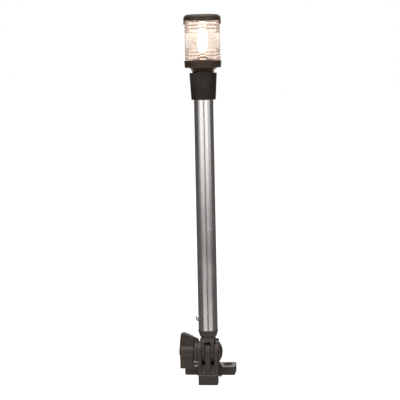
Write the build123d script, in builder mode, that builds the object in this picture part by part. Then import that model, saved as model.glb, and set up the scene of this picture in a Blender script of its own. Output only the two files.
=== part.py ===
"""Fold-down all-round navigation light: a lamp head on a tubular pole that hinges on a
screw-down base and is clamped by a wing knob.

Millimetres. +Z is up along the raised pole, +X runs along the hinge bolt towards its dome cap,
and the pole folds down towards -Y. The origin lies on the seat under the two mounting ears,
midway between their screw holes.
"""

import os
from math import sqrt

from build123d import *

# ---------------------------------------------------------------- driving dimensions

# Mounting ears, which sit on the boat with their undersides at Z = 0.
screw_spacing = 46.0
screw_hole_radius = 2.75
recess_radius = 6.2
recess_stretch = 5.0
recess_depth = 1.6
ear_half_width = 33.6
ear_depth = 31.0
ear_thickness = 11.1
ear_corner_radius = 4.0
wing_relief = 2.8
haunch_tip_x = 13.6
haunch_outer_x = 19.6
haunch_drop = 3.8
haunch_sweep = 3.6
haunch_sag = 0.7
gusset_width = 4.5
gusset_height = 7.0
channel_radius = 14.3
channel_centre_z = -7.6

# Hinge: three base prongs and two pole prongs on one bolt along X.
pivot_y = -25.0
pivot_z = 34.1
knuckle_radius = 14.3
pole_knuckle_radius = 14.0
prong_gap = 0.3
centre_prong_half = 3.8
pole_prong_inner = centre_prong_half + prong_gap
pole_prong_outer = 8.1
cheek_inner = pole_prong_outer + prong_gap
cheek_outer = 12.6
slot_radius = 14.6
slot_lip_y = -7.5
slot_lip_drop = 16.2
rim_chamfer = 0.7
crotch_height = 14.8
foot_bottom_z = -7.9
foot_height = 13.3
foot_ledge = 1.0
foot_edge_radius = 1.2
foot_rear = 0.0
backstop_height = 14.9
backstop_front = 12.2
backstop_rear = 16.5

# Hinge bolt, M6, a running fit in every prong.
bolt_radius = 3.0
running_clearance = 0.05
hex_across_flats = 10.0
bolt_head_height = 4.0
bolt_head_sink = 1.6
bolt_end_x = -33.0

# Dome cap over the bolt head.
dome_radius = 13.4
dome_apex_x = 18.7
dome_rim_width = 1.4
dome_wall = 1.6

# Wing knob and the washer under it.
washer_radius = 12.6
washer_thickness = 1.2
knob_face_gap = 0.05
knob_flange_radius = 13.8
knob_flange_thickness = 3.9
knob_neck_radius = 7.2
knob_hub_radius = 8.7
knob_pad_inner_x = -20.1
knob_outer_x = -38.6
wing_tip_radius = 25.6
wing_tip_inset = 4.4
wing_edge_inset = 2.2
wing_root_inset = 0.6
wing_tip_rounding = 2.8
wing_crest_length = 2.6
wing_slope_drop = 8.6
wing_reach_gap = 0.3
wing_thickness = 9.0
web_thickness = 4.4
wing_edge_chamfer = 1.0
lower_wing_radius = 22.3
lower_edge_inset = 0.9
groove_pitch = 2.1
groove_depth = 1.0
groove_start = 1.4
groove_margin = 2.6
groove_length = 15.0
groove_count = 6
nut_radius = 5.0
nut_length = 9.0

# Pole and the post that carries it.
tube_radius = 12.7
tube_wall = 1.2
tube_bottom_z = 63.9
tube_top_z = 395.5
fit = 0.05
spigot_length = 28.0
spigot_bore_radius = 8.5
neck_bore_radius = 6.0
lip_radius = 13.3
lip_height = 2.0
neck_radius = 9.8
neck_height = 19.8
outlet_height = 22.0
outlet_radius = 3.6
screw_height = 15.0
screw_radius = 2.0
screw_head_radius = 4.0
screw_head_height = 3.3
screw_length = 8.0
cross_recess_length = 4.2
cross_recess_width = 0.9

# Collar below the lamp.
collar_bottom_z = 366.9
collar_top_z = 401.8
collar_bottom_radius = 15.95
collar_top_radius = 17.8
collar_socket_radius = 15.3

# Lamp base, lens and cap.
base_spigot_length = 22.0
base_bore_radius = 5.5
flare_bottom_radius = 13.9
flare_top_radius = 21.6
ring_bottom_z = 408.3
ring_top_z = 417.9
ring_radius = 24.1
ring_bottom_radius = 23.6
ring_inner_radius = 23.2
floor_z = 412.5
gasket_thickness = 1.3
lens_radius = 22.9
lens_inner_radius = 20.3
lens_top_z = 470.9
optical_centre_z = 442.9
band_half_height = 10.3
band_bulge = 1.0
prism_pitch = 4.5
prism_depth = 1.4
prism_count = 3
outer_groove = 0.5
cap_bottom_z = 468.6
cap_top_z = 477.1
cap_radius = 24.25
cap_flat_radius = 17.7
cap_shoulder_drop = 4.6
cap_wall = 2.2
cap_tab_drop = 4.4
cap_tab_width = 8.0

# Bulb and socket, on the optical axis.
mound_radius = 14.8
contact_radius = 2.0
socket_screw_x = 11.0
socket_screw_radius = 1.25
socket_screw_head_radius = 2.4
socket_screw_head_height = 1.4
screw_well_radius = 2.7
screw_well_floor = 1.6
socket_flange_radius = 7.1
socket_flange_z = 424.6
socket_mouth_radius = 5.8
socket_mouth_depth = 2.6
socket_shell_radius = 4.95
socket_shell_wall = 0.4
socket_shell_bottom_z = 416.5
socket_shell_top_z = 428.2
bulb_shell_radius = 4.5
bulb_shell_bottom_z = 419.1
bulb_glass_radius = 5.6
bulb_glass_top_z = 455.0
bulb_glass_wall = 0.5
bulb_shell_top_z = 430.1
bayonet_slot_width = 2.2
bayonet_slot_depth = 5.2
pin_depth = 4.0
pin_radius = 0.9
pin_length = 1.4
plunger_radius = 1.5
rivet_x = 4.3
rivet_radius = 0.8
filament_half_span = 3.0
lead_radius = 0.9
lead_offset = 1.1
lead_bend = 5.0

# ---------------------------------------------------------------- reference planes

pole_line = Axis((0, pivot_y, 0), (0, 0, 1))
bolt_line = Axis((0, pivot_y, pivot_z), (1, 0, 0))

# Half-planes for turned profiles: radius then height about the pole, length then radius
# about the bolt.
pole_turning = Plane(origin=(0, pivot_y, 0), x_dir=(1, 0, 0), z_dir=(0, -1, 0))
bolt_turning = Plane(origin=(0, pivot_y, pivot_z), x_dir=(1, 0, 0), z_dir=(0, -1, 0))
bolt_facing_front = Plane(origin=(0, pivot_y, pivot_z), x_dir=(1, 0, 0), z_dir=(0, 0, -1))


def level(z):
    """The horizontal plane at height z, centred on the pole."""
    return Plane(origin=(0, pivot_y, z), x_dir=(1, 0, 0), z_dir=(0, 0, 1))


def across(x):
    """The plane square to the bolt at x, centred on it, with +Y then +Z as its axes."""
    return Plane(origin=(x, pivot_y, pivot_z), x_dir=(0, 1, 0), z_dir=(1, 0, 0))


def crown(edge_radius, drop):
    """The point halfway out on a shallow spherical crown: its radius and its own drop."""
    sphere_radius = (edge_radius**2 + drop**2) / (2 * drop)
    half = edge_radius / 2
    return half, sphere_radius - sqrt(sphere_radius**2 - half**2)


def save(piece, name):
    """Label a finished piece and write it as one STEP file."""
    piece.part.label = name
    export_step(piece.part, f"parts/{name}.step")


os.makedirs("parts", exist_ok=True)

# ---------------------------------------------------------------- base body

foot_bottom = foot_bottom_z - pivot_z
foot_top = foot_bottom + foot_height
ear_front = -ear_depth / 2 - pivot_y
ear_top = ear_thickness - pivot_z
gusset_front = ear_depth / 2 + 0.5

with BuildPart() as base_body:
    # The column and the knuckles on top of it, as one profile through all three prongs.
    with BuildSketch(across(0)):
        with BuildLine():
            Polyline(
                (knuckle_radius, 0),
                (knuckle_radius, ear_top),
                (ear_front + 1, ear_top),
                (ear_front + 1, -pivot_z),
                (foot_rear, -pivot_z),
                (foot_rear, foot_bottom),
                (-knuckle_radius - foot_ledge, foot_bottom),
                (-knuckle_radius - foot_ledge, foot_top - foot_ledge),
                (-knuckle_radius, foot_top),
                (-knuckle_radius, 0),
            )
            ThreePointArc((-knuckle_radius, 0), (0, knuckle_radius), (knuckle_radius, 0))
        make_face()
    extrude(amount=cheek_outer, both=True)

    # The foot's upright front edges are rounded.
    foot_edges = base_body.edges().filter_by(Axis.Z).group_by(Axis.Y)[0]
    fillet(foot_edges, foot_edge_radius)

    # Two slots for the pole's prongs, open above, behind and, down a slope, in front.
    for side in (-1, 1):
        slot_middle = side * (centre_prong_half + cheek_inner) / 2
        with BuildSketch(across(slot_middle)):
            Circle(slot_radius)
            with Locations((0, slot_radius)):
                Rectangle(4 * slot_radius, 2 * slot_radius)
            with BuildLine():
                Polyline(
                    (-slot_radius - foot_ledge, 0),
                    (slot_radius, 0),
                    (0, -slot_radius),
                    (slot_lip_y, -slot_lip_drop),
                    (-knuckle_radius, foot_top),
                    (-slot_radius - foot_ledge, foot_top),
                    close=True,
                )
            make_face()
        extrude(amount=(cheek_inner - centre_prong_half) / 2, both=True, mode=Mode.SUBTRACT)

    # The slots' mouths are bevelled, over the knuckles and down the column's front.
    for side in (-1, 1):
        with BuildSketch(bolt_facing_front) as bevel:
            with BuildLine():
                Polyline(
                    (side * centre_prong_half, knuckle_radius - rim_chamfer),
                    (side * (centre_prong_half - rim_chamfer - 1), knuckle_radius + 1),
                    (side * (cheek_inner + rim_chamfer + 1), knuckle_radius + 1),
                    (side * cheek_inner, knuckle_radius - rim_chamfer),
                    close=True,
                )
            make_face()
        extrude(amount=-foot_top, mode=Mode.SUBTRACT)
        revolve(bevel.sketch, axis=bolt_line.reverse(), revolution_arc=180, mode=Mode.SUBTRACT)

    # Backstops: a lug on each outer cheek that the raised pole's neck rests against.
    for side in (-1, 1):
        with BuildSketch(across(side * cheek_inner)):
            with BuildLine():
                Polyline(
                    (backstop_front, 0),
                    (backstop_front, backstop_height - 1),
                    (backstop_front + 1, backstop_height),
                    (backstop_rear - 1.5, backstop_height),
                    (backstop_rear, backstop_height - 1.5),
                    (backstop_rear, 2),
                    (knuckle_radius, -4),
                    close=True,
                )
            make_face()
        extrude(amount=side * (cheek_outer - cheek_inner))

    # The mounting ears: one plate behind the column.
    with BuildSketch(Plane.XY):
        RectangleRounded(2 * ear_half_width, ear_depth, ear_corner_radius)
    extrude(amount=ear_thickness)

    # The left ear's front edge is bevelled where the knob's wings sweep past it.
    with BuildSketch(across(-ear_half_width)):
        with BuildLine():
            Polyline(
                (ear_front - 1, ear_top - wing_relief - 1),
                (ear_front + wing_relief + 1, ear_top + 1),
                (ear_front - 1, ear_top + 1),
                close=True,
            )
        make_face()
    extrude(amount=ear_half_width + knob_pad_inner_x, mode=Mode.SUBTRACT)

    # Haunches under the plate beside the cable channel.
    for side in (-1, 1):
        with BuildSketch(Plane.XZ.offset(-ear_depth / 2)):
            with BuildLine():
                Polyline(
                    (side * haunch_outer_x, 0.5),
                    (side * haunch_outer_x, 0),
                )
                ThreePointArc(
                    (side * haunch_outer_x, 0),
                    (side * (haunch_outer_x - haunch_sweep), -haunch_sag),
                    (side * haunch_tip_x, -haunch_drop),
                )
                Polyline(
                    (side * haunch_tip_x, -haunch_drop),
                    (side * (haunch_tip_x - 3), 0.5),
                    (side * haunch_outer_x, 0.5),
                )
            make_face()
        extrude(amount=ear_depth)

    # Gussets from the plate up the column's flanks.
    for side in (-1, 1):
        with BuildSketch(Plane.XZ.offset(gusset_front)):
            with BuildLine():
                Polyline(
                    (side * (cheek_outer - 1), ear_thickness - 1),
                    (side * (cheek_outer + gusset_width), ear_thickness - 1),
                    (side * (cheek_outer + gusset_width), ear_thickness),
                    (side * cheek_outer, ear_thickness + gusset_height),
                    (side * (cheek_outer - 1), ear_thickness + gusset_height),
                    close=True,
                )
            make_face()
        extrude(amount=gusset_front + pivot_y + knuckle_radius, dir=(0, 1, 0))

    # The cable channel under the plate and the column's rear half.
    with BuildSketch(Plane.XZ.offset(-ear_depth / 2)):
        with Locations((0, channel_centre_z)):
            Circle(channel_radius)
    extrude(amount=ear_depth / 2 - pivot_y - foot_rear, mode=Mode.SUBTRACT)

    # Screw holes, each with an oval recess for the screw head.
    for side in (-1, 1):
        with BuildSketch(Plane.XY):
            with Locations((side * screw_spacing / 2, 0)):
                Circle(screw_hole_radius)
        extrude(amount=ear_thickness, mode=Mode.SUBTRACT)
        with BuildSketch(Plane.XY.offset(ear_thickness - recess_depth)):
            with Locations((side * screw_spacing / 2, 0)):
                SlotCenterToCenter(recess_stretch, 2 * recess_radius, rotation=90)
        extrude(amount=recess_depth, mode=Mode.SUBTRACT)

    # The bolt's bore and the hexagon that keeps its head from turning.
    with BuildSketch(across(-cheek_outer)):
        Circle(bolt_radius + running_clearance)
    extrude(amount=2 * cheek_outer, mode=Mode.SUBTRACT)
    with BuildSketch(across(cheek_outer - bolt_head_sink)):
        RegularPolygon(hex_across_flats / 2 + fit, 6, major_radius=False)
    extrude(amount=bolt_head_sink, mode=Mode.SUBTRACT)

save(base_body, "base_body")

# ---------------------------------------------------------------- hinge bolt and dome cap

with BuildPart() as pivot_bolt:
    with BuildSketch(across(cheek_outer - bolt_head_sink)):
        RegularPolygon(hex_across_flats / 2, 6, major_radius=False)
    extrude(amount=bolt_head_height)
    with BuildSketch(across(bolt_end_x)):
        Circle(bolt_radius)
    extrude(amount=cheek_outer - bolt_head_sink - bolt_end_x)
    chamfer(pivot_bolt.faces().sort_by(Axis.X)[0].edges(), 0.6)
save(pivot_bolt, "pivot_bolt")

dome_start = cheek_outer
dome_groove = dome_start + dome_rim_width
dome_shell_radius = dome_radius - 0.5
dome_shoulder_x = dome_apex_x - 2.6
dome_crown_radius = dome_shell_radius - 6.2
dome_crown_drop = 0.8
dome_half_radius, dome_half_drop = crown(dome_crown_radius, dome_crown_drop)
head_room = hex_across_flats / sqrt(3) + 0.4
with BuildPart() as dome_cap:
    with BuildSketch(bolt_turning):
        with BuildLine():
            Polyline(
                (dome_start, head_room),
                (dome_start, dome_radius),
                (dome_groove, dome_radius),
                (dome_groove + 0.3, dome_shell_radius - 0.6),
                (dome_groove + 0.6, dome_shell_radius),
            )
            ThreePointArc(
                (dome_groove + 0.6, dome_shell_radius),
                (dome_shoulder_x, dome_shell_radius - 2.7),
                (dome_apex_x - dome_crown_drop, dome_crown_radius),
            )
            ThreePointArc(
                (dome_apex_x - dome_crown_drop, dome_crown_radius),
                (dome_apex_x - dome_half_drop, dome_half_radius),
                (dome_apex_x, 0),
            )
            Polyline(
                (dome_apex_x, 0),
                (dome_apex_x - dome_wall, 0),
                (dome_apex_x - dome_wall, head_room),
                (dome_start, head_room),
            )
        make_face()
    revolve(axis=bolt_line)
save(dome_cap, "dome_cap")

# ---------------------------------------------------------------- wing knob

washer_face = -cheek_outer - knob_face_gap
flange_start = washer_face - washer_thickness
flange_end = flange_start - knob_flange_thickness
upper_tip_z = pivot_z + wing_tip_radius
wing_root_z = knob_hub_radius - 1.5

with BuildPart() as knob_washer:
    with BuildSketch(across(washer_face - washer_thickness)):
        Circle(washer_radius)
        Circle(bolt_radius + running_clearance, mode=Mode.SUBTRACT)
    extrude(amount=washer_thickness)
save(knob_washer, "knob_washer")

with BuildPart() as knob:
    # Flange, neck and hub, turned about the bolt, with a socket for the nut and the bolt's end.
    with BuildSketch(bolt_turning):
        with BuildLine():
            Polyline(
                (flange_start, bolt_radius + running_clearance),
                (flange_start, knob_flange_radius - 0.6),
                (flange_start - 0.6, knob_flange_radius),
                (flange_end + 0.6, knob_flange_radius),
                (flange_end, knob_flange_radius - 0.6),
                (flange_end, knob_neck_radius),
                (knob_pad_inner_x, knob_neck_radius),
                (knob_pad_inner_x, knob_hub_radius),
                (knob_outer_x + 3, knob_hub_radius),
            )
            ThreePointArc(
                (knob_outer_x + 3, knob_hub_radius),
                (knob_outer_x + 0.9, knob_hub_radius - 1.1),
                (knob_outer_x + 0.1, knob_hub_radius - 4),
            )
            Polyline(
                (knob_outer_x + 0.1, knob_hub_radius - 4),
                (knob_outer_x, 0),
                (bolt_end_x - 1, 0),
                (bolt_end_x - 1, nut_radius),
                (bolt_end_x - 1 + nut_length, nut_radius),
                (bolt_end_x - 1 + nut_length, bolt_radius + running_clearance),
                (flange_start, bolt_radius + running_clearance),
            )
        make_face()
    revolve(axis=bolt_line)

    # The upper wing: a thick pad with a rounded tip, and a thinner web that carries its
    # slope on over the flange.
    crest_end_x = knob_outer_x + wing_tip_inset + wing_crest_length
    web_end_x = -cheek_outer - wing_reach_gap
    web_end_z = upper_tip_z - wing_slope_drop
    slope = wing_slope_drop / (web_end_x - crest_end_x)
    pad_end_z = upper_tip_z - slope * (knob_pad_inner_x - crest_end_x)
    with BuildSketch(Plane.XZ.offset(-pivot_y)):
        with BuildLine():
            Polyline(
                (knob_outer_x + wing_tip_inset, upper_tip_z),
                (crest_end_x, upper_tip_z),
                (knob_pad_inner_x, pad_end_z),
                (knob_pad_inner_x, pivot_z + wing_root_z),
                (knob_outer_x + wing_root_inset, pivot_z + wing_root_z),
            )
            ThreePointArc(
                (knob_outer_x + wing_root_inset, pivot_z + wing_root_z),
                (knob_outer_x + wing_root_inset + 0.5, pivot_z + wing_tip_radius / 2 + 1.5),
                (knob_outer_x + wing_edge_inset, upper_tip_z - wing_tip_rounding),
            )
            ThreePointArc(
                (knob_outer_x + wing_edge_inset, upper_tip_z - wing_tip_rounding),
                (knob_outer_x + wing_edge_inset + 0.7, upper_tip_z - 0.8),
                (knob_outer_x + wing_tip_inset, upper_tip_z),
            )
        make_face()
    extrude(amount=wing_thickness / 2, both=True)
    crest_edges = knob.edges().filter_by(Axis.X).group_by(Axis.Z)[-1]
    chamfer(crest_edges, wing_edge_chamfer)
    with BuildSketch(Plane.XZ.offset(-pivot_y)):
        with BuildLine():
            Polyline(
                (knob_pad_inner_x, pad_end_z),
                (web_end_x, web_end_z),
                (web_end_x, pivot_z + knob_flange_radius - 0.8),
                (flange_start - 1, pivot_z + knob_flange_radius - 0.8),
                (flange_end, pivot_z + knob_neck_radius - 1),
                (knob_pad_inner_x, pivot_z + knob_neck_radius - 1),
                close=True,
            )
        make_face()
        # The lower wing's web stops at the flange.
        with BuildLine():
            Polyline(
                (knob_pad_inner_x, pivot_z - knob_neck_radius + 1),
                (flange_end + 1, pivot_z - knob_neck_radius + 1),
                (flange_end + 1, pivot_z - knob_flange_radius + 0.8),
                (knob_pad_inner_x, pivot_z - knob_flange_radius + 0.8),
                close=True,
            )
        make_face()
    extrude(amount=web_thickness / 2, both=True)

    # The lower wing: shorter and square-ended.
    with BuildSketch(Plane.XZ.offset(-pivot_y)):
        with BuildLine():
            Polyline(
                (knob_outer_x + wing_root_inset, pivot_z - wing_root_z),
                (knob_pad_inner_x, pivot_z - wing_root_z),
                (knob_pad_inner_x, pivot_z - lower_wing_radius),
                (knob_outer_x + lower_edge_inset + 0.8, pivot_z - lower_wing_radius),
                (knob_outer_x + lower_edge_inset, pivot_z - lower_wing_radius + 0.8),
            )
            ThreePointArc(
                (knob_outer_x + lower_edge_inset, pivot_z - lower_wing_radius + 0.8),
                (knob_outer_x + 0.8, pivot_z - lower_wing_radius / 2),
                (knob_outer_x + wing_root_inset, pivot_z - wing_root_z),
            )
        make_face()
    extrude(amount=wing_thickness / 2, both=True)

    # Grip grooves across both faces of the upper wing: rows of V cuts.
    for side in (-1, 1):
        for step in range(groove_count):
            groove_z = pivot_z + knob_hub_radius + groove_start + step * groove_pitch
            with BuildSketch(Plane.YZ.offset(knob_outer_x + groove_margin)):
                with BuildLine():
                    Polyline(
                        (pivot_y + side * (wing_thickness / 2 + 0.2), groove_z - groove_pitch / 2),
                        (pivot_y + side * (wing_thickness / 2 - groove_depth), groove_z),
                        (pivot_y + side * (wing_thickness / 2 + 0.2), groove_z + groove_pitch / 3),
                        close=True,
                    )
                make_face()
            extrude(amount=groove_length, mode=Mode.SUBTRACT)
save(knob, "knob")

with BuildPart() as knob_nut:
    with BuildSketch(across(bolt_end_x - 1)):
        Circle(nut_radius)
        Circle(bolt_radius + running_clearance, mode=Mode.SUBTRACT)
    extrude(amount=nut_length)
save(knob_nut, "knob_nut")

# ---------------------------------------------------------------- pole post

neck_z = pivot_z + neck_height
lip_bottom_z = tube_bottom_z - lip_height
tube_bore = tube_radius - tube_wall
outlet_z = pivot_z + outlet_height
screw_z = tube_bottom_z + screw_height

with BuildPart() as pole_post:
    # The fork: round knuckles that taper up to the neck.
    with BuildSketch(across(0)):
        with BuildLine():
            ThreePointArc((pole_knuckle_radius, 0), (0, -pole_knuckle_radius), (-pole_knuckle_radius, 0))
            Polyline(
                (-pole_knuckle_radius, 0),
                (-pole_knuckle_radius, 4),
                (-backstop_front + prong_gap, crotch_height),
                (-neck_radius + 1, neck_height),
                (neck_radius - 1, neck_height),
                (backstop_front - prong_gap, crotch_height),
                (pole_knuckle_radius, 4),
                (pole_knuckle_radius, 0),
            )
        make_face()
    extrude(amount=pole_prong_outer, both=True)
    with BuildSketch(across(0)):
        Rectangle(4 * knuckle_radius, 4 * crotch_height)
        with Locations((0, 2 * crotch_height)):
            Rectangle(4 * knuckle_radius, 2 * crotch_height, mode=Mode.SUBTRACT)
    extrude(amount=pole_prong_inner, both=True, mode=Mode.SUBTRACT)

    # The knuckles' round rims are bevelled.
    round_rims = pole_post.edges().filter_by(
        lambda edge: edge.geom_type == GeomType.CIRCLE and edge.radius > pole_knuckle_radius - 1
    )
    chamfer(round_rims, rim_chamfer)

    # The shoulder above the crotch blends into the round neck.
    with BuildSketch(level(pivot_z + crotch_height)):
        RectangleRounded(2 * neck_radius, 2 * (backstop_front - prong_gap), 5)
    with BuildSketch(level(neck_z)):
        Circle(neck_radius)
    loft()

    # Goblet, lip and the hollow spigot inside the pole, turned about the pole's line.
    with BuildSketch(pole_turning):
        with BuildLine():
            Line((0, neck_z), (neck_radius, neck_z))
            ThreePointArc(
                (neck_radius, neck_z),
                (tube_radius - 0.9, neck_z + 3.8),
                (tube_radius + 0.1, lip_bottom_z),
            )
            Polyline(
                (tube_radius + 0.1, lip_bottom_z),
                (lip_radius, lip_bottom_z + 0.5),
                (lip_radius, tube_bottom_z - 0.5),
                (lip_radius - 0.4, tube_bottom_z),
                (tube_bore - fit, tube_bottom_z),
                (tube_bore - fit, tube_bottom_z + spigot_length - 1),
                (tube_bore - fit - 1, tube_bottom_z + spigot_length),
                (0, tube_bottom_z + spigot_length),
                (0, neck_z),
            )
        make_face()
    revolve(axis=pole_line)
    with BuildSketch(level(lip_bottom_z)):
        Circle(spigot_bore_radius)
    extrude(amount=lip_height + spigot_length, mode=Mode.SUBTRACT)
    with BuildSketch(level(outlet_z - outlet_radius - 1)):
        Circle(neck_bore_radius)
    extrude(amount=lip_bottom_z - outlet_z + outlet_radius + 1, mode=Mode.SUBTRACT)

    # Cable outlet at the back, pilot hole for the pole screw, and the bolt's bore.
    with BuildSketch(Plane.XZ.offset(-pivot_y)):
        with Locations((0, outlet_z)):
            Circle(outlet_radius)
    extrude(amount=-2 * tube_radius, mode=Mode.SUBTRACT)
    with BuildSketch(Plane.YZ.offset(-tube_bore)):
        with Locations((pivot_y, screw_z)):
            Circle(screw_radius)
    extrude(amount=tube_bore - spigot_bore_radius + 1, mode=Mode.SUBTRACT)
    with BuildSketch(across(-pole_prong_outer)):
        Circle(bolt_radius + running_clearance)
    extrude(amount=2 * pole_prong_outer, mode=Mode.SUBTRACT)
save(pole_post, "pole_post")

with BuildPart() as outlet_grommet:
    # A flanged rubber sleeve along +Y, just below the lip.
    grommet_line = Axis((0, pivot_y, outlet_z), (0, 1, 0))
    grommet_turning = Plane(origin=(0, pivot_y, outlet_z), x_dir=(0, 1, 0), z_dir=(1, 0, 0))
    with BuildSketch(grommet_turning):
        with BuildLine():
            Polyline(
                (spigot_bore_radius - 1.5, 2.2),
                (spigot_bore_radius - 1.5, outlet_radius),
                (tube_radius + 0.2, outlet_radius),
                (tube_radius + 0.2, outlet_radius + 1.2),
                (tube_radius + 1.8, outlet_radius + 0.7),
                (tube_radius + 2.4, outlet_radius - 0.2),
                (tube_radius + 2.4, 2.2),
                close=True,
            )
        make_face()
    revolve(axis=grommet_line)
save(outlet_grommet, "outlet_grommet")

# ---------------------------------------------------------------- pole and its screw

with BuildPart() as pole_tube:
    with BuildSketch(level(tube_bottom_z)):
        Circle(tube_radius)
        Circle(tube_bore, mode=Mode.SUBTRACT)
    extrude(amount=tube_top_z - tube_bottom_z)
    with BuildSketch(Plane.YZ.offset(-tube_radius - 1)):
        with Locations((pivot_y, screw_z)):
            Circle(screw_radius + running_clearance)
    extrude(amount=tube_wall + 2, mode=Mode.SUBTRACT)
save(pole_tube, "pole_tube")

with BuildPart() as pole_screw:
    # Pan head with a cross recess; its axis is -X.
    screw_line = Axis((-tube_radius, pivot_y, screw_z), (1, 0, 0))
    screw_turning = Plane(origin=(-tube_radius, pivot_y, screw_z), x_dir=(-1, 0, 0), z_dir=(0, 1, 0))
    with BuildSketch(screw_turning):
        with BuildLine():
            Polyline(
                (-screw_length + screw_radius, 0),
                (-screw_length + screw_radius, screw_radius - 0.8),
                (-screw_length + screw_radius + 0.8, screw_radius),
                (0, screw_radius),
                (0, screw_head_radius),
                (screw_head_height * 0.3, screw_head_radius),
            )
            ThreePointArc(
                (screw_head_height * 0.3, screw_head_radius),
                (screw_head_height * 0.8, screw_head_radius * 0.75),
                (screw_head_height, 0),
            )
            Line((screw_head_height, 0), (-screw_length + screw_radius, 0))
        make_face()
    revolve(axis=screw_line)
    with BuildSketch(Plane.YZ.offset(-tube_radius - screw_head_height - 0.5)):
        with Locations((pivot_y, screw_z)):
            Rectangle(cross_recess_length, cross_recess_width)
            Rectangle(cross_recess_width, cross_recess_length)
    extrude(amount=2.0, mode=Mode.SUBTRACT)
save(pole_screw, "pole_screw")

# ---------------------------------------------------------------- collar and lamp base

with BuildPart() as head_collar:
    with BuildSketch(pole_turning):
        with BuildLine():
            Polyline(
                (tube_radius, collar_bottom_z),
                (collar_bottom_radius - 0.7, collar_bottom_z),
                (collar_bottom_radius, collar_bottom_z + 0.7),
                (collar_top_radius, collar_top_z - 0.7),
                (collar_top_radius - 0.7, collar_top_z),
                (collar_socket_radius, collar_top_z),
                (collar_socket_radius, tube_top_z),
                (tube_radius, tube_top_z),
                close=True,
            )
        make_face()
    revolve(axis=pole_line)
save(head_collar, "head_collar")

with BuildPart() as lamp_base:
    with BuildSketch(pole_turning):
        with BuildLine():
            # Spigot in the pole, shoulder in the collar, then the flared neck.
            Polyline(
                (base_bore_radius, tube_top_z - base_spigot_length),
                (tube_bore, tube_top_z - base_spigot_length),
                (tube_bore, tube_top_z),
                (collar_socket_radius, tube_top_z),
                (collar_socket_radius, collar_top_z),
                (flare_bottom_radius, collar_top_z),
            )
            ThreePointArc(
                (flare_bottom_radius, collar_top_z),
                (flare_bottom_radius + 1.9, collar_top_z + 4.3),
                (flare_top_radius, ring_bottom_z),
            )
            # Underside, tapered rim and the cup that the lens stands in.
            Polyline(
                (flare_top_radius, ring_bottom_z),
                (ring_bottom_radius - 0.8, ring_bottom_z),
                (ring_bottom_radius, ring_bottom_z + 0.8),
                (ring_radius, ring_top_z - 0.8),
                (ring_radius - 0.8, ring_top_z),
                (ring_inner_radius, ring_top_z),
                (ring_inner_radius, floor_z),
                (base_bore_radius, floor_z),
                (base_bore_radius, tube_top_z - base_spigot_length),
            )
        make_face()
    revolve(axis=pole_line)
save(lamp_base, "lamp_base")

# ---------------------------------------------------------------- lens, gasket and cap

with BuildPart() as lens_gasket:
    with BuildSketch(level(floor_z)):
        Circle(ring_inner_radius - 0.2)
        Circle(lens_inner_radius - 0.2, mode=Mode.SUBTRACT)
    extrude(amount=gasket_thickness)
save(lens_gasket, "lens_gasket")

lens_bottom_z = floor_z + gasket_thickness
band_top = optical_centre_z + band_half_height
band_bottom = optical_centre_z - band_half_height


def outer_grooves(direction):
    """The fine V-grooves that mark the prism steps outside, from the band outwards."""
    return [
        optical_centre_z + direction * (band_half_height + step * prism_pitch)
        for step in range(prism_count + 1)
    ]


with BuildPart() as lens:
    with BuildSketch(pole_turning):
        with BuildLine():
            # Inside, upwards: prisms, the bulging centre band, and prisms again.
            inside = [(lens_inner_radius, lens_bottom_z)]
            for step in reversed(range(prism_count)):
                start = band_bottom - (step + 1) * prism_pitch
                inside.append((lens_inner_radius, start))
                inside.append((lens_inner_radius - prism_depth, start + prism_pitch - 0.3))
            inside.append((lens_inner_radius - 0.4, band_bottom))
            Polyline(*inside)
            ThreePointArc(
                (lens_inner_radius - 0.4, band_bottom),
                (lens_inner_radius - band_bulge, optical_centre_z),
                (lens_inner_radius - 0.4, band_top),
            )
            inside = [(lens_inner_radius - 0.4, band_top)]
            for step in range(prism_count):
                start = band_top + step * prism_pitch
                inside.append((lens_inner_radius - prism_depth, start + 0.3))
                inside.append((lens_inner_radius, start + prism_pitch))
            inside.append((lens_inner_radius, lens_top_z))
            inside.append((lens_radius, lens_top_z))
            # Outside, downwards: a plain cylinder with fine grooves.
            for groove in reversed(sorted(outer_grooves(1) + outer_grooves(-1))):
                inside.append((lens_radius, groove + outer_groove))
                inside.append((lens_radius - outer_groove, groove))
                inside.append((lens_radius, groove - outer_groove))
            inside.append((lens_radius, lens_bottom_z))
            inside.append((lens_inner_radius, lens_bottom_z))
            Polyline(*inside)
        make_face()
    revolve(axis=pole_line)
save(lens, "lens")

cap_crown_drop = 0.4
cap_half_radius, cap_half_drop = crown(cap_flat_radius, cap_crown_drop)
with BuildPart() as top_cap:
    with BuildSketch(pole_turning):
        with BuildLine():
            Polyline(
                (lens_radius, cap_bottom_z),
                (cap_radius - 0.4, cap_bottom_z),
                (cap_radius, cap_bottom_z + 0.4),
                (cap_radius, cap_top_z - cap_shoulder_drop),
            )
            ThreePointArc(
                (cap_radius, cap_top_z - cap_shoulder_drop),
                (cap_radius - 1.6, cap_top_z - 1.9),
                (cap_flat_radius, cap_top_z - cap_crown_drop),
            )
            ThreePointArc(
                (cap_flat_radius, cap_top_z - cap_crown_drop),
                (cap_half_radius, cap_top_z - cap_half_drop),
                (0, cap_top_z),
            )
            Polyline(
                (0, cap_top_z),
                (0, cap_top_z - cap_wall),
                (cap_flat_radius - 1, cap_top_z - cap_wall - 0.6),
                (lens_radius - 0.6, lens_top_z),
                (lens_radius, lens_top_z),
                (lens_radius, cap_bottom_z),
            )
        make_face()
    revolve(axis=pole_line)
    # Two snap tabs hang down over the lens.
    with BuildSketch(level(cap_bottom_z - cap_tab_drop)):
        Circle(cap_radius)
        Circle(lens_radius + fit, mode=Mode.SUBTRACT)
        Rectangle(2 * cap_radius, cap_tab_width, mode=Mode.INTERSECT)
    extrude(amount=cap_tab_drop)
save(top_cap, "top_cap")

# ---------------------------------------------------------------- socket and bulb

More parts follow.
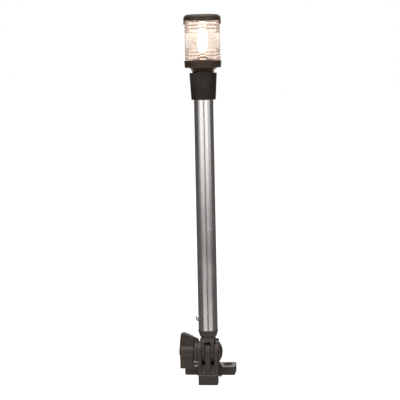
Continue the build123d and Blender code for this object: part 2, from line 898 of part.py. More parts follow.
with BuildPart() as socket_base:
    # A low mound that carries the socket, with room round its mouth for the bulb's pins.
    with BuildSketch(pole_turning):
        with BuildLine():
            Polyline(
                (socket_shell_radius, socket_flange_z - socket_mouth_depth),
                (socket_shell_radius, socket_shell_bottom_z),
                (contact_radius, socket_shell_bottom_z),
                (contact_radius, floor_z),
                (mound_radius, floor_z),
                (mound_radius, ring_top_z - 1),
            )
            ThreePointArc(
                (mound_radius, ring_top_z - 1),
                (mound_radius - 3.0, ring_top_z + 2.8),
                (socket_flange_radius, socket_flange_z),
            )
            Polyline(
                (socket_flange_radius, socket_flange_z),
                (socket_mouth_radius, socket_flange_z),
                (socket_mouth_radius, socket_flange_z - socket_mouth_depth),
                (socket_shell_radius, socket_flange_z - socket_mouth_depth),
            )
        make_face()
    revolve(axis=pole_line)
    # Wells for the two fixing screws, left and right, and the earth rivet's hole.
    with BuildSketch(level(floor_z + screw_well_floor)):
        with Locations((-socket_screw_x, 0), (socket_screw_x, 0)):
            Circle(screw_well_radius)
    extrude(amount=socket_flange_z - floor_z, mode=Mode.SUBTRACT)
    with BuildSketch(level(floor_z)):
        with Locations((-socket_screw_x, 0), (socket_screw_x, 0)):
            Circle(socket_screw_radius + running_clearance)
        with Locations((-rivet_x, 0)):
            Circle(rivet_radius)
    extrude(amount=socket_shell_bottom_z - floor_z, mode=Mode.SUBTRACT)
save(socket_base, "socket_base")

with BuildPart() as ground_rivet:
    with BuildSketch(level(floor_z)):
        with Locations((-rivet_x, 0)):
            Circle(rivet_radius)
    extrude(amount=socket_shell_bottom_z - floor_z)
save(ground_rivet, "ground_rivet")

with BuildPart() as socket_screws:
    for side in (-1, 1):
        well = level(floor_z + screw_well_floor)
        with BuildSketch(well):
            with Locations((side * socket_screw_x, 0)):
                Circle(socket_screw_head_radius)
        extrude(amount=socket_screw_head_height)
        with BuildSketch(well):
            with Locations((side * socket_screw_x, 0)):
                Circle(socket_screw_radius)
        extrude(amount=-screw_well_floor)
        with BuildSketch(well.offset(socket_screw_head_height)):
            with Locations((side * socket_screw_x, 0)):
                Rectangle(2 * socket_screw_head_radius, 0.6)
        extrude(amount=-0.7, mode=Mode.SUBTRACT)
save(socket_screws, "socket_screws")

with BuildPart() as socket_shell:
    with BuildSketch(pole_turning):
        with BuildLine():
            Polyline(
                (socket_shell_radius - socket_shell_wall, socket_shell_bottom_z),
                (socket_shell_radius, socket_shell_bottom_z),
                (socket_shell_radius, socket_shell_top_z - 0.8),
                (socket_shell_radius + 0.4, socket_shell_top_z),
                (socket_shell_radius, socket_shell_top_z),
                (socket_shell_radius - socket_shell_wall, socket_shell_top_z - 0.8),
                close=True,
            )
        make_face()
    revolve(axis=pole_line)
    # Two bayonet slots, open at the top, for the bulb's pins.
    with BuildSketch(level(socket_shell_top_z)):
        Rectangle(4 * socket_shell_radius, bayonet_slot_width)
    extrude(amount=-bayonet_slot_depth, mode=Mode.SUBTRACT)
save(socket_shell, "socket_shell")

with BuildPart() as centre_contact:
    # The spring-loaded plunger under the bulb and the rivet that carries its lead.
    with BuildSketch(level(floor_z)):
        Circle(contact_radius)
    extrude(amount=socket_shell_bottom_z - floor_z)
    with BuildSketch(level(socket_shell_bottom_z)):
        Circle(plunger_radius)
    extrude(amount=bulb_shell_bottom_z - 0.8 - socket_shell_bottom_z)
save(centre_contact, "centre_contact")

with BuildPart() as bulb_base:
    # Nickel shell with an insulated tip below and two bayonet pins.
    with BuildSketch(pole_turning):
        with BuildLine():
            Polyline(
                (0, bulb_shell_bottom_z),
                (2.6, bulb_shell_bottom_z),
                (bulb_shell_radius - fit, bulb_shell_bottom_z + 1.4),
                (bulb_shell_radius - fit, bulb_shell_top_z),
                (bulb_shell_radius - 0.7, bulb_shell_top_z),
                (bulb_shell_radius - 0.7, bulb_shell_bottom_z + 2.4),
                (0, bulb_shell_bottom_z + 2.4),
                close=True,
            )
        make_face()
    revolve(axis=pole_line)
    for side in (-1, 1):
        with BuildSketch(Plane.YZ.offset(side * (bulb_shell_radius - 0.5))):
            with Locations((pivot_y, socket_shell_top_z - pin_depth)):
                Circle(pin_radius)
        extrude(amount=side * pin_length)
save(bulb_base, "bulb_base")

with BuildPart() as bulb_tip:
    # The solder blob that meets the centre contact.
    with BuildSketch(level(bulb_shell_bottom_z - 0.8)):
        Circle(1.4)
    extrude(amount=0.8)
save(bulb_tip, "bulb_tip")

bulb_neck_radius = bulb_shell_radius - 0.7 - fit
bulb_neck_z = bulb_shell_bottom_z + 2.4 + fit
glass_shoulder_z = bulb_shell_top_z + 4.5
glass_round_z = bulb_glass_top_z - bulb_glass_radius
cavity_radius = bulb_glass_radius - bulb_glass_wall
stem_radius = 1.9
stem_top_z = 433.0

with BuildPart() as bulb_glass:
    with BuildSketch(pole_turning):
        # The envelope, from the neck in the shell to the round top.
        with BuildLine():
            Polyline(
                (0, bulb_neck_z),
                (bulb_neck_radius, bulb_neck_z),
                (bulb_neck_radius, bulb_shell_top_z + 0.4),
                (bulb_glass_radius, glass_shoulder_z),
                (bulb_glass_radius, glass_round_z),
            )
            ThreePointArc(
                (bulb_glass_radius, glass_round_z),
                (bulb_glass_radius / sqrt(2), glass_round_z + bulb_glass_radius / sqrt(2)),
                (0, bulb_glass_top_z),
            )
            Line((0, bulb_glass_top_z), (0, bulb_neck_z))
        make_face()
        # The evacuated space round the stem.
        with BuildLine():
            Polyline(
                (0, stem_top_z),
                (stem_radius - 0.6, stem_top_z),
                (stem_radius, stem_top_z - 0.8),
                (stem_radius + 0.3, bulb_neck_z + 2),
                (bulb_neck_radius - bulb_glass_wall, bulb_neck_z + 2.6),
                (bulb_neck_radius - bulb_glass_wall, bulb_shell_top_z + 0.6),
                (cavity_radius, glass_shoulder_z + 0.2),
                (cavity_radius, glass_round_z),
            )
            ThreePointArc(
                (cavity_radius, glass_round_z),
                (cavity_radius / sqrt(2), glass_round_z + cavity_radius / sqrt(2)),
                (0, glass_round_z + cavity_radius),
            )
            Line((0, glass_round_z + cavity_radius), (0, stem_top_z))
        make_face(mode=Mode.SUBTRACT)
    revolve(axis=pole_line)
save(bulb_glass, "bulb_glass")

filament_foot_z = optical_centre_z - 1.2
with BuildPart() as filament_supports:
    # Two wires that rise from the stem and lean apart to the filament's ends.
    for side in (-1, 1):
        foot = Vector(side * 0.8, pivot_y, stem_top_z)
        head = Vector(side * filament_half_span, pivot_y, filament_foot_z)
        with BuildSketch(Plane(origin=foot, z_dir=head - foot)):
            Circle(0.25)
        extrude(amount=(head - foot).length)
save(filament_supports, "filament_supports")

with BuildPart() as filament:
    # The coil, as a plain arched rod between the two wires.
    with BuildLine():
        coil_path = ThreePointArc(
            (-filament_half_span, pivot_y, filament_foot_z + 0.3),
            (0, pivot_y, optical_centre_z + 1.4),
            (filament_half_span, pivot_y, filament_foot_z + 0.3),
        )
    with BuildSketch(Plane(origin=coil_path @ 0, z_dir=coil_path % 0)):
        Circle(0.35)
    sweep(path=coil_path)
save(filament, "filament")

# ---------------------------------------------------------------- leads inside the pole

lead_end_y = pivot_y + tube_radius + 2.4
negative_route = [
    (-rivet_x, pivot_y, floor_z),
    (-rivet_x, pivot_y, floor_z - 8),
    (-lead_offset, pivot_y, floor_z - 20),
    (-lead_offset, pivot_y, outlet_z),
    (-lead_offset, lead_end_y, outlet_z),
]
positive_route = [
    (lead_offset, pivot_y, floor_z),
    (lead_offset, pivot_y, outlet_z),
    (lead_offset, lead_end_y, outlet_z),
]


def lead(route, radii):
    """A round wire along straight runs joined by tangent arcs."""
    with BuildPart() as wire:
        with BuildLine():
            path = FilletPolyline(*route, radius=radii)
        with BuildSketch(Plane(origin=path @ 0, z_dir=path % 0)):
            Circle(lead_radius)
        sweep(path=path)
    return wire


save(lead(positive_route, [lead_bend]), "positive_lead")
save(lead(negative_route, [lead_bend, lead_bend, lead_bend]), "negative_lead")
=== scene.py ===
"""Fold-down all-round navigation light: materials, fine detail, studio light and camera.

Metres, in the CAD frame: +Z up along the pole, +X along the hinge bolt, the pole folds to -Y.
"""

from math import cos, pi, radians, sin, tan

import bpy
from mathutils import Matrix, Vector


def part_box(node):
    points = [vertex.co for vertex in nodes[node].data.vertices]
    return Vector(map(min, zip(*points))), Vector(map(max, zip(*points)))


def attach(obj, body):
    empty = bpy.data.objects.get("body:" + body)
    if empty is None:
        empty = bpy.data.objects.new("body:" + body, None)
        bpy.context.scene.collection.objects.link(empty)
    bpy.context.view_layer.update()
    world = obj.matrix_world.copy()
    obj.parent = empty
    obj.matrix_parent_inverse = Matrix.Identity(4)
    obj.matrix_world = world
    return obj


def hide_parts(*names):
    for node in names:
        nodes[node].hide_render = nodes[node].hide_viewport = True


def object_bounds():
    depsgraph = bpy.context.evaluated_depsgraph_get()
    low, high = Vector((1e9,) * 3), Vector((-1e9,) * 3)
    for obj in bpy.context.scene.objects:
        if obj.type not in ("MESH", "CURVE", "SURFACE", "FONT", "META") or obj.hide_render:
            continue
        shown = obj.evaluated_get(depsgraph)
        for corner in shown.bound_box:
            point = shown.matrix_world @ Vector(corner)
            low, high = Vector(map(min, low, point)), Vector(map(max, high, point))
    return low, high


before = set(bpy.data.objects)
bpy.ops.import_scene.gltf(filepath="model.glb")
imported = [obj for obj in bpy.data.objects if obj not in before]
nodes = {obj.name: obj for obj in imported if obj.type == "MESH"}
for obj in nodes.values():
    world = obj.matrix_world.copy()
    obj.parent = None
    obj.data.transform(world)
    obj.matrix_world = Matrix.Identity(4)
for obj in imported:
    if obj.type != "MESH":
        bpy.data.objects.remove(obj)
cad_low, cad_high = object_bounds()

# ---------------------------------------------------------------- camera

# The view: slightly from the dome cap's side, slightly from above, with the camera rolled a
# little so that the pole leans to the left.
CAMERA_AZIMUTH = 6.3
CAMERA_ELEVATION = 5.9
CAMERA_ROLL = -1.17
CAMERA_DISTANCE = 1.738
CAMERA_LENS = 119.4
SENSOR_WIDTH = 36.0

# The camera aims beside the pole's middle, at this height above the foot.
AIM_LEFT = 0.0074
AIM_HEIGHT = 0.2438

pole_low, pole_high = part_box("pole_tube")
pole_axis = Vector(((pole_low.x + pole_high.x) / 2, (pole_low.y + pole_high.y) / 2, 0))
aim = Vector((pole_axis.x - AIM_LEFT, pole_axis.y, cad_low.z + AIM_HEIGHT))


def make_camera():
    """A long-lens camera, almost level, that looks at the middle of the pole."""
    azimuth = radians(CAMERA_AZIMUTH)
    elevation = radians(CAMERA_ELEVATION)
    back = Vector((sin(azimuth) * cos(elevation), -cos(azimuth) * cos(elevation), sin(elevation)))
    data = bpy.data.cameras.new("camera")
    data.sensor_width = SENSOR_WIDTH
    data.lens = CAMERA_LENS
    data.clip_end = 100
    camera = bpy.data.objects.new("camera", data)
    facing = (-back).to_track_quat("-Z", "Y").to_matrix().to_4x4()
    roll = Matrix.Rotation(radians(CAMERA_ROLL), 4, "Z")
    camera.matrix_world = Matrix.Translation(aim + back * CAMERA_DISTANCE) @ facing @ roll
    bpy.context.scene.collection.objects.link(camera)
    bpy.context.scene.camera = camera


make_camera()

# ---------------------------------------------------------------- studio

FLOOR_HALF = 12.0
FLOOR_GAP = 0.0002
FLOOR_GREY = 0.12
FLOOR_GLOW = 0.99
OVERHEAD_STRENGTH = 3.0
OVERHEAD_SPREAD = 70
LIGHT_DISTANCE = 1.6

# The softboxes' bottoms and tops. The table lights hang below the floor, and are the bright
# table that the tube and the base mirror.
FRONT_HEIGHTS = (0.10, 1.5)
TABLE_HEIGHTS = (-0.8, -0.17)
REAR_HEIGHTS = (0.0, 1.5)


def softbox(name, azimuth, reach, heights, brightness):
    """A soft light at an azimuth, reach degrees wide, that the camera doesn't see.

    The lights stand upright round the pole, and brightness is what their faces show.
    """
    bottom, top = heights
    data = bpy.data.lights.new(name, "AREA")
    data.shape = "RECTANGLE"
    data.size = 2 * LIGHT_DISTANCE * tan(radians(reach / 2))
    data.size_y = top - bottom
    data.energy = brightness * pi * data.size * data.size_y
    light = bpy.data.objects.new(name, data)
    around = radians(azimuth)
    level = Vector((pole_axis.x, pole_axis.y, (bottom + top) / 2))
    outward = Vector((sin(around), -cos(around), 0))
    light.location = level + outward * LIGHT_DISTANCE
    light.rotation_mode = "QUATERNION"
    light.rotation_quaternion = (-outward).to_track_quat("-Z", "Y")
    light.visible_camera = False
    light.visible_transmission = False
    bpy.context.scene.collection.objects.link(light)


def world_node(tree, kind, **values):
    """One node of the world's tree, with its plain inputs set."""
    node = tree.nodes.new(kind)
    for name, value in values.items():
        node.inputs[name.replace("_", " ")].default_value = value
    return node


WHITE = (1, 1, 1, 1)
BACKDROP = 1.0
ROOM_COLOUR = (1.0, 0.985, 0.97, 1)
ROOM_DARK = 0.10
ROOM_FLOOR = 0.75
ROOM_TOP = 0.55
ROOM_BEHIND = 0.9


def make_world():
    """A white backdrop, and for everything but the camera a dim room round a white table.

    The room is bright below and above, dark at the sides, and has a lit sweep behind the lamp.
    """
    world = bpy.data.worlds.new("studio")
    bpy.context.scene.world = world
    world.use_nodes = True
    tree = world.node_tree
    tree.nodes.clear()
    link = tree.links.new
    output = tree.nodes.new("ShaderNodeOutputWorld")
    coordinates = tree.nodes.new("ShaderNodeTexCoord")
    split = tree.nodes.new("ShaderNodeSeparateXYZ")
    link(coordinates.outputs["Generated"], split.inputs[0])

    def ramp(axis, low, high, brightness):
        """Brightness that rises from nothing at low to its full value at high."""
        node = world_node(tree, "ShaderNodeMapRange", From_Min=low, From_Max=high, To_Max=brightness)
        node.interpolation_type = "SMOOTHSTEP"
        link(split.outputs[axis], node.inputs["Value"])
        return node.outputs["Result"]

    def combine(operation, first, second):
        """One arithmetic node for two outputs."""
        node = tree.nodes.new("ShaderNodeMath")
        node.operation = operation
        link(first, node.inputs[0])
        link(second, node.inputs[1])
        return node

    def total(first, second):
        """The sum of two outputs."""
        return combine("ADD", first, second).outputs[0]

    below = ramp("Z", -0.25, -0.60, ROOM_FLOOR)
    above = ramp("Z", 0.30, 0.75, ROOM_TOP)
    sweep = combine("MULTIPLY", ramp("Y", 0.75, 0.92, ROOM_BEHIND), ramp("Z", 0.02, 0.10, 1.0))
    level = total(total(below, above), sweep.outputs[0])
    base = tree.nodes.new("ShaderNodeMath")
    base.inputs[1].default_value = ROOM_DARK
    link(level, base.inputs[0])
    room = world_node(tree, "ShaderNodeBackground", Color=ROOM_COLOUR)
    link(base.outputs[0], room.inputs["Strength"])
    backdrop = world_node(tree, "ShaderNodeBackground", Color=WHITE, Strength=BACKDROP)
    # The backdrop is seen directly and through clear pieces, and the room in every reflection.
    path = tree.nodes.new("ShaderNodeLightPath")
    either = combine("MAXIMUM", path.outputs["Is Camera Ray"], path.outputs["Transmission Depth"])
    either.use_clamp = True
    mix = tree.nodes.new("ShaderNodeMixShader")
    link(either.outputs[0], mix.inputs["Fac"])
    link(room.outputs[0], mix.inputs[1])
    link(backdrop.outputs[0], mix.inputs[2])
    link(mix.outputs[0], output.inputs["Surface"])


def make_floor():
    """A plain white floor at the foot's height, evenly lit."""
    z = cad_low.z - FLOOR_GAP
    mesh = bpy.data.meshes.new("floor")
    signs = [(-1, -1), (1, -1), (1, 1), (-1, 1)]
    corners = [(x * FLOOR_HALF, y * FLOOR_HALF, z) for x, y in signs]
    mesh.from_pydata(corners, [], [(0, 1, 2, 3)])
    floor = bpy.data.objects.new("floor", mesh)
    bpy.context.scene.collection.objects.link(floor)
    material = bpy.data.materials.new("floor_white")
    material.use_nodes = True
    shader = material.node_tree.nodes["Principled BSDF"]
    shader.inputs["Base Color"].default_value = (FLOOR_GREY, FLOOR_GREY, FLOOR_GREY, 1)
    shader.inputs["Emission Color"].default_value = WHITE
    shader.inputs["Emission Strength"].default_value = FLOOR_GLOW
    shader.inputs["Roughness"].default_value = 0.9
    shader.inputs["Specular IOR Level"].default_value = 0.1
    mesh.materials.append(material)
    floor.visible_glossy = False
    floor.visible_shadow = False


def make_overhead():
    """Broad soft light from above, even over the whole floor."""
    data = bpy.data.lights.new("overhead", "SUN")
    data.energy = OVERHEAD_STRENGTH
    data.angle = radians(OVERHEAD_SPREAD)
    light = bpy.data.objects.new("overhead", data)
    light.location = (0, 0, 2)
    bpy.context.scene.collection.objects.link(light)


make_world()
make_floor()
make_overhead()
softbox("front_left", -23, 45, FRONT_HEIGHTS, 1.25)
softbox("front_left_wing", -56, 20, FRONT_HEIGHTS, 0.45)
softbox("front_right", 31, 36, FRONT_HEIGHTS, 1.35)
softbox("front_right_wing", 66, 34, FRONT_HEIGHTS, 0.62)
softbox("table_left", -25, 44, TABLE_HEIGHTS, 0.80)
softbox("table_right", 38, 46, TABLE_HEIGHTS, 0.66)
softbox("rear_left", -170, 14, REAR_HEIGHTS, 0.9)
softbox("rear_right", 170, 14, REAR_HEIGHTS, 0.9)
bpy.context.scene.view_settings.view_transform = "Standard"
bpy.context.scene.view_settings.look = "None"

# ---------------------------------------------------------------- node helpers


class Recipe:
    """A material's node tree, with short calls for the nodes that the recipes below share."""

    def __init__(self, name):
        self.material = bpy.data.materials.new(name)
        self.material.use_nodes = True
        self.tree = self.material.node_tree
        self.shader = self.tree.nodes["Principled BSDF"]
        coordinates = self.tree.nodes.new("ShaderNodeTexCoord")
        self.place = coordinates.outputs["Object"]

    def feed(self, socket, value):
        """Link a socket to an output, or set it to a plain value."""
        if isinstance(value, bpy.types.NodeSocket):
            self.tree.links.new(value, socket)
        else:
            socket.default_value = value

    def set(self, **values):
        """Set the shader's inputs by name, with underscores for spaces."""
        for name, value in values.items():
            self.feed(self.shader.inputs[name.replace("_", " ")], value)

    def height(self):
        """The height above the seat, in metres."""
        node = self.tree.nodes.new("ShaderNodeSeparateXYZ")
        self.tree.links.new(self.place, node.inputs[0])
        return node.outputs["Z"]

    def from_filament(self):
        """The distance above or below the filament, in metres."""
        return self.maths("ABSOLUTE", self.maths("SUBTRACT", self.height(), filament_height))

    def stretched(self, scale):
        """The object's coordinates, scaled along each axis."""
        node = self.tree.nodes.new("ShaderNodeMapping")
        node.inputs["Scale"].default_value = scale
        self.tree.links.new(self.place, node.inputs["Vector"])
        return node.outputs["Vector"]

    def noise(self, scale, detail=3.0, roughness=0.55, where=None):
        """A noise value from 0 to 1, with scale features to the metre."""
        node = self.tree.nodes.new("ShaderNodeTexNoise")
        node.inputs["Scale"].default_value = scale
        node.inputs["Detail"].default_value = detail
        node.inputs["Roughness"].default_value = roughness
        self.tree.links.new(where or self.place, node.inputs["Vector"])
        return node.outputs["Fac"]

    def cells(self, scale):
        """Distance to the nearest point of a scattered set, for grain and flecks."""
        node = self.tree.nodes.new("ShaderNodeTexVoronoi")
        node.inputs["Scale"].default_value = scale
        self.tree.links.new(self.place, node.inputs["Vector"])
        return node.outputs["Distance"]

    def span(self, value, low, high, to_low=0.0, to_high=1.0):
        """Map value from low..high to to_low..to_high, clamped."""
        node = self.tree.nodes.new("ShaderNodeMapRange")
        self.feed(node.inputs["Value"], value)
        node.inputs["From Min"].default_value = low
        node.inputs["From Max"].default_value = high
        node.inputs["To Min"].default_value = to_low
        node.inputs["To Max"].default_value = to_high
        return node.outputs["Result"]

    def maths(self, operation, first, second=0.0):
        """One arithmetic node."""
        node = self.tree.nodes.new("ShaderNodeMath")
        node.operation = operation
        self.feed(node.inputs[0], first)
        self.feed(node.inputs[1], second)
        return node.outputs[0]

    def blend(self, factor, first, second):
        """A colour between first and second."""
        node = self.tree.nodes.new("ShaderNodeMix")
        node.data_type = "RGBA"
        self.feed(node.inputs["Factor"], factor)
        self.feed(node.inputs["A"], first)
        self.feed(node.inputs["B"], second)
        return node.outputs["Result"]

    def bump(self, height, distance, strength=1.0, under=None):
        """A bump from a height map, on top of another normal if there is one."""
        node = self.tree.nodes.new("ShaderNodeBump")
        node.inputs["Strength"].default_value = strength
        node.inputs["Distance"].default_value = distance
        self.feed(node.inputs["Height"], height)
        if under is not None:
            self.tree.links.new(under, node.inputs["Normal"])
        return node.outputs["Normal"]

    def edges(self, radius):
        """1 along sharp edges and 0 on open faces."""
        bevel = self.tree.nodes.new("ShaderNodeBevel")
        bevel.samples = 6
        bevel.inputs["Radius"].default_value = radius
        geometry = self.tree.nodes.new("ShaderNodeNewGeometry")
        dot = self.tree.nodes.new("ShaderNodeVectorMath")
        dot.operation = "DOT_PRODUCT"
        self.tree.links.new(bevel.outputs["Normal"], dot.inputs[0])
        self.tree.links.new(geometry.outputs["Normal"], dot.inputs[1])
        return self.span(dot.outputs["Value"], 0.995, 0.85)


def rgb(red, green, blue):
    """A colour with full alpha."""
    return (red, green, blue, 1.0)


def paler(colour, factor, lift=0.0):
    """A colour with each part multiplied, then raised."""
    return rgb(*[part * factor + lift for part in colour])


# ---------------------------------------------------------------- materials

WARM = rgb(1.0, 0.88, 0.79)
CLOUDS = 70
GRAIN = 2600
EDGE_WIDTH = 0.0006

# The lamp base's rim reaches this far below the lens's gasket, and its gloss starts there.
RIM_DEPTH = 0.0042
RIM_BLUR = 0.0002

# The lens's plain centre band, to either side of the filament, and the steps beyond it.
BAND_HALF = 0.0103
BAND_BLUR = 0.001
PRISM_PITCH = 0.0045

# How far above and below the filament the bulb's glass glows, and how strongly.
GLOW_REACH = 0.014
GLOW_STRENGTH = 2.6

filament_low, filament_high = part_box("filament")
filament_height = (filament_low.z + filament_high.z) / 2


def moulded_plastic(name, colour, dust_and_edge_highlight, roughness, grain=0.00004, shine_level=0.46):
    """Moulded black plastic: spark-eroded grain, cloudy colour, and paler edges that are partly
    scuffs and partly a painted edge highlight.
    """
    recipe = Recipe(name)
    clouds = recipe.span(recipe.noise(CLOUDS, 4), 0.3, 0.7)
    flecks = recipe.span(recipe.noise(900, 6, 0.7), 0.55, 0.72)
    # Paler edges: scuff wear broken up by noise, together with a painted highlight along every edge.
    scuffs_and_edge_highlight = recipe.maths("MULTIPLY", recipe.edges(EDGE_WIDTH),
                          recipe.span(recipe.noise(260, 4), 0.35, 0.6))
    base = recipe.blend(clouds, rgb(*colour), paler(colour, 1.35))
    dusty = recipe.blend(recipe.maths("MULTIPLY", flecks, 0.25), base, rgb(*dust_and_edge_highlight))
    final = recipe.blend(recipe.maths("MULTIPLY", scuffs_and_edge_highlight, 0.55), dusty, rgb(*dust_and_edge_highlight))
    shine = recipe.maths("ADD", recipe.span(clouds, 0, 1, roughness - 0.05, roughness + 0.06),
                         recipe.maths("MULTIPLY", flecks, 0.12))
    pits = recipe.maths("ADD", recipe.cells(GRAIN), recipe.noise(2 * GRAIN, 2))
    recipe.set(Base_Color=final, Roughness=shine, Specular_IOR_Level=shine_level, Specular_Tint=WARM,
               Normal=recipe.bump(pits, grain, 0.6))
    return recipe.material


def lamp_base_plastic(name):
    """The lamp base: a glossy flared neck below a satin rim that is grained like the cap."""
    recipe = Recipe(name)
    rim_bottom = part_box("lens_gasket")[0].z - RIM_DEPTH
    rim = recipe.span(recipe.height(), rim_bottom - RIM_BLUR, rim_bottom + RIM_BLUR)
    neck = recipe.maths("SUBTRACT", 1.0, rim)
    clouds = recipe.noise(CLOUDS, 4)
    smears = recipe.noise(40, 5, 0.6, recipe.stretched((1, 1, 0.2)))
    base = recipe.blend(clouds, rgb(0.019, 0.011, 0.006), rgb(0.027, 0.0165, 0.010))
    satin = recipe.span(clouds, 0.3, 0.7, 0.36, 0.48)
    gloss = recipe.span(smears, 0.35, 0.7, 0.14, 0.24)
    shine = recipe.maths("ADD", recipe.maths("MULTIPLY", satin, rim),
                         recipe.maths("MULTIPLY", gloss, neck))
    recipe.set(Base_Color=base, Roughness=shine, Specular_IOR_Level=0.4, Specular_Tint=WARM,
               Coat_Weight=neck, Coat_Roughness=0.08, Coat_IOR=1.9,
               Normal=recipe.bump(recipe.cells(GRAIN), 0.00002, 0.4))
    return recipe.material


def glossy_plastic(name, colour, roughness):
    """Smooth moulded plastic with a slight orange peel and fine wiping marks."""
    recipe = Recipe(name)
    clouds = recipe.noise(55, 3)
    smears = recipe.noise(40, 5, 0.6, recipe.stretched((1, 1, 0.2)))
    base = recipe.blend(clouds, rgb(*colour), paler(colour, 1.4))
    shine = recipe.span(smears, 0.35, 0.7, roughness, roughness + 0.12)
    recipe.set(Base_Color=base, Roughness=shine, Specular_Tint=WARM,
               Coat_Weight=0.8, Coat_Roughness=0.06, Coat_IOR=1.7,
               Normal=recipe.bump(recipe.noise(900, 2), 0.00002, 0.35))
    return recipe.material


def rubber(name, colour, roughness):
    """Matt rubber: bloom in soft clouds and a fine leathery surface."""
    recipe = Recipe(name)
    bloom = recipe.span(recipe.noise(45, 5, 0.6), 0.4, 0.75)
    base = recipe.blend(bloom, rgb(*colour), paler(colour, 1.8, 0.006))
    shine = recipe.span(bloom, 0, 1, roughness - 0.06, roughness + 0.1)
    skin = recipe.maths("ADD", recipe.cells(1800), recipe.noise(3800, 3))
    recipe.set(Base_Color=base, Roughness=shine, Specular_IOR_Level=0.26, Specular_Tint=WARM,
               Normal=recipe.bump(skin, 0.00003, 0.5))
    return recipe.material


def drawn_aluminium(name):
    """Satin anodised tube: fine lines drawn along its length, cloudy sheen, small scratches."""
    recipe = Recipe(name)
    lines = recipe.noise(1.0, 4, 0.65, recipe.stretched((5200, 5200, 9)))
    broad = recipe.noise(1.0, 3, 0.5, recipe.stretched((900, 900, 4)))
    clouds = recipe.span(recipe.noise(24, 4), 0.35, 0.7)
    nicks = recipe.noise(1.0, 2, 0.5, recipe.stretched((2600, 2600, 130)))
    scratches = recipe.span(nicks, 0.70, 0.74)
    base = recipe.blend(lines, rgb(0.71, 0.672, 0.662), rgb(0.83, 0.79, 0.778))
    base = recipe.blend(recipe.maths("MULTIPLY", scratches, 0.5), base, rgb(0.92, 0.92, 0.91))
    shine = recipe.maths("ADD", recipe.span(lines, 0.3, 0.7, 0.14, 0.24),
                         recipe.maths("MULTIPLY", clouds, 0.07))
    relief = recipe.maths("ADD", lines, recipe.maths("MULTIPLY", broad, 0.6))
    recipe.set(Base_Color=base, Roughness=shine, Metallic=1.0,
               Normal=recipe.bump(relief, 0.000012, 0.5))
    return recipe.material


def bright_metal(name, colour, roughness, tarnish):
    """Machined or plated metal: fine turning marks and patches of tarnish."""
    recipe = Recipe(name)
    marks = recipe.noise(1.0, 3, 0.6, recipe.stretched((700, 6000, 6000)))
    patches = recipe.span(recipe.noise(210, 5, 0.65), 0.45, 0.75)
    base = recipe.blend(recipe.maths("MULTIPLY", patches, 0.6), rgb(*colour), rgb(*tarnish))
    shine = recipe.maths("ADD", recipe.span(marks, 0.3, 0.7, roughness, roughness + 0.12),
                         recipe.maths("MULTIPLY", patches, 0.15))
    recipe.set(Base_Color=base, Roughness=shine, Metallic=1.0,
               Normal=recipe.bump(marks, 0.00001, 0.4))
    return recipe.material


def clear_lens(name):
    """Clear moulded polycarbonate round a lit bulb.

    The centre band is slightly smoky; above and below it the prism steps carry thin brown
    lines of painted shade. The walls have a warm-brown mottle all over, and a faint painted
    warm glow of their own.
    """
    recipe = Recipe(name)
    away = recipe.from_filament()
    band = recipe.span(away, BAND_HALF + BAND_BLUR, BAND_HALF - BAND_BLUR)
    steps = recipe.maths("DIVIDE", recipe.maths("SUBTRACT", away, BAND_HALF), PRISM_PITCH)
    beside = recipe.maths("ABSOLUTE", recipe.maths("SUBTRACT", recipe.maths("FRACT", steps), 0.5))
    # Painted shade: thin brown lines at each prism step, outside the centre band.
    painted_step_lines = recipe.maths("MULTIPLY", recipe.span(beside, 0.36, 0.46),
                        recipe.maths("SUBTRACT", 1.0, band))
    haze = recipe.noise(120, 4)
    mottle = recipe.span(recipe.noise(330, 5, 0.65), 0.49, 0.66)
    broken = recipe.span(recipe.noise(160, 2), 0.30, 0.60, 0.35, 1.0)
    clear = recipe.blend(mottle, rgb(1.0, 0.955, 0.91), rgb(0.64, 0.49, 0.41))
    smoky = recipe.blend(mottle, rgb(0.88, 0.84, 0.79), rgb(0.62, 0.50, 0.43))
    walls = recipe.blend(band, clear, smoky)
    tint = recipe.blend(recipe.maths("MULTIPLY", painted_step_lines, broken), walls, rgb(0.34, 0.22, 0.15))
    shine = recipe.maths("ADD", recipe.span(haze, 0.35, 0.75, 0.06, 0.12),
                         recipe.maths("MULTIPLY", band, 0.05))
    # Painted glow: the lens walls emit a faint warm light of their own, standing in for the bulb's
    # light seen in them.
    glow = recipe.span(haze, 0.3, 0.7, 0.03, 0.10)
    recipe.set(Base_Color=tint, Roughness=shine, IOR=1.5, Transmission_Weight=1.0,
               Emission_Color=rgb(1.0, 0.70, 0.56), Emission_Strength=glow,
               Normal=recipe.bump(recipe.noise(420, 2), 0.00003, 0.3))
    return recipe.material


def lit_glass(name):
    """The bulb's envelope, glowing: brightest at the filament's height, clearer below."""
    recipe = Recipe(name)
    glow = recipe.span(recipe.from_filament(), GLOW_REACH, 0.0, 0.02, 1.0)
    warm = recipe.blend(glow, rgb(1.0, 0.62, 0.30), rgb(1.0, 0.93, 0.84))
    shine = recipe.span(recipe.noise(300), 0.3, 0.7, 0.05, 0.2)
    recipe.set(Base_Color=rgb(1.0, 0.98, 0.95), Roughness=shine, IOR=1.5, Transmission_Weight=1.0,
               Emission_Color=warm, Emission_Strength=recipe.maths("MULTIPLY", glow, GLOW_STRENGTH))
    return recipe.material


def hot_wire(name):
    """Tungsten at working heat, a little uneven along its coils."""
    recipe = Recipe(name)
    uneven = recipe.noise(900, 2)
    recipe.set(Base_Color=rgb(0.3, 0.25, 0.2), Roughness=0.5, Metallic=1.0,
               Emission_Color=recipe.blend(uneven, rgb(1.0, 0.70, 0.34), rgb(1.0, 0.85, 0.58)),
               Emission_Strength=recipe.span(uneven, 0.3, 0.7, 10, 20))
    return recipe.material


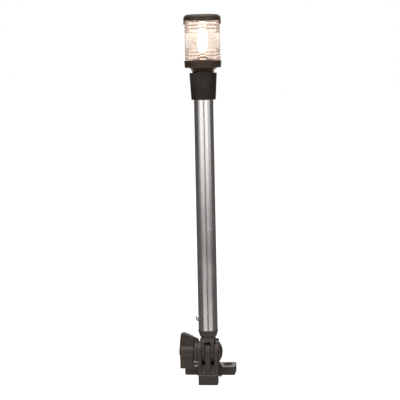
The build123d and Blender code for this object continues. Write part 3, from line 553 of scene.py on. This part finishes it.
BLACK = (0.020, 0.0155, 0.013)
# Pale dust colour, also used for the painted highlight along the plastic's edges.
DUST_AND_EDGE_HIGHLIGHT = (0.12, 0.10, 0.088)
plastic = moulded_plastic("base_plastic", BLACK, DUST_AND_EDGE_HIGHLIGHT, 0.42)
cap_plastic = moulded_plastic(
    "cap_plastic", (0.024, 0.0145, 0.009), (0.14, 0.10, 0.07), 0.36, grain=0.00002, shine_level=0.40)
neck_plastic = lamp_base_plastic("neck_plastic")
collar_rubber = rubber("collar_rubber", (0.0095, 0.0075, 0.006), 0.5)
gasket_rubber = rubber("gasket_rubber", (0.02, 0.02, 0.02), 0.6)
aluminium = drawn_aluminium("pole_aluminium")
steel = bright_metal("stainless", (0.70, 0.69, 0.67), 0.2, (0.45, 0.43, 0.40))
brass = bright_metal("brass", (0.78, 0.58, 0.27), 0.25, (0.42, 0.28, 0.12))
nickel = bright_metal("nickel", (0.78, 0.74, 0.66), 0.18, (0.55, 0.46, 0.33))
phenolic = moulded_plastic(
    "socket_plastic", (0.02, 0.0125, 0.008), (0.10, 0.06, 0.04), 0.45, shine_level=0.3)
lens_clear = clear_lens("lens_clear")
bulb_clear = lit_glass("bulb_clear")
tungsten = hot_wire("filament_wire")
red_sheath = glossy_plastic("lead_red", (0.35, 0.02, 0.02), 0.3)
black_sheath = glossy_plastic("lead_black", (0.02, 0.02, 0.02), 0.3)

FINISHES = {
    plastic: ["base_body", "knob", "knob_washer", "pole_post", "dome_cap"],
    cap_plastic: ["top_cap"],
    neck_plastic: ["lamp_base"],
    collar_rubber: ["head_collar"],
    gasket_rubber: ["lens_gasket", "outlet_grommet"],
    aluminium: ["pole_tube"],
    steel: ["pole_screw", "pivot_bolt", "socket_screws"],
    brass: ["knob_nut", "centre_contact", "ground_rivet"],
    nickel: ["socket_shell", "bulb_base", "bulb_tip", "filament_supports"],
    phenolic: ["socket_base"],
    lens_clear: ["lens"],
    bulb_clear: ["bulb_glass"],
    tungsten: ["filament"],
    red_sheath: ["positive_lead"],
    black_sheath: ["negative_lead"],
}
SMOOTH_ANGLE = radians(32)


def finish_node(node, material):
    """Give a CAD node its material, and smooth its round faces."""
    mesh = nodes[node].data
    mesh.materials.clear()
    mesh.materials.append(material)
    mesh.shade_smooth()
    mesh.set_sharp_from_angle(angle=SMOOTH_ANGLE)


for material, members in FINISHES.items():
    for member in members:
        finish_node(member, material)

# ---------------------------------------------------------------- fine detail

COIL_TURNS = 22
COIL_RADIUS = 0.00042
COIL_WIRE = 0.00007
COIL_STEPS = 14


def make_filament():
    """The filament as a real coil, in a shallow arch between its two supports."""
    low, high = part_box("filament")
    middle = (low + high) / 2
    span = high.x - low.x
    curve = bpy.data.curves.new("filament_coil", "CURVE")
    curve.dimensions = "3D"
    curve.bevel_depth = COIL_WIRE
    curve.bevel_resolution = 2
    spline = curve.splines.new("POLY")
    count = COIL_TURNS * COIL_STEPS
    spline.points.add(count)
    for index in range(count + 1):
        along = index / count
        turn = 2 * pi * COIL_TURNS * along
        arch = (high.z - low.z - 2 * COIL_RADIUS) * sin(pi * along)
        spline.points[index].co = (
            low.x + span * along,
            middle.y + COIL_RADIUS * cos(turn),
            low.z + COIL_RADIUS + arch + COIL_RADIUS * sin(turn),
            1,
        )
    shape = bpy.data.objects.new("filament_shape", curve)
    bpy.context.scene.collection.objects.link(shape)
    graph = bpy.context.evaluated_depsgraph_get()
    mesh = bpy.data.meshes.new_from_object(shape.evaluated_get(graph))
    bpy.data.objects.remove(shape)
    coil = bpy.data.objects.new("filament_coil", mesh)
    bpy.context.scene.collection.objects.link(coil)
    mesh.materials.clear()
    mesh.materials.append(tungsten)
    mesh.shade_smooth()
    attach(coil, "bulb")
    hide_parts("filament")


make_filament()
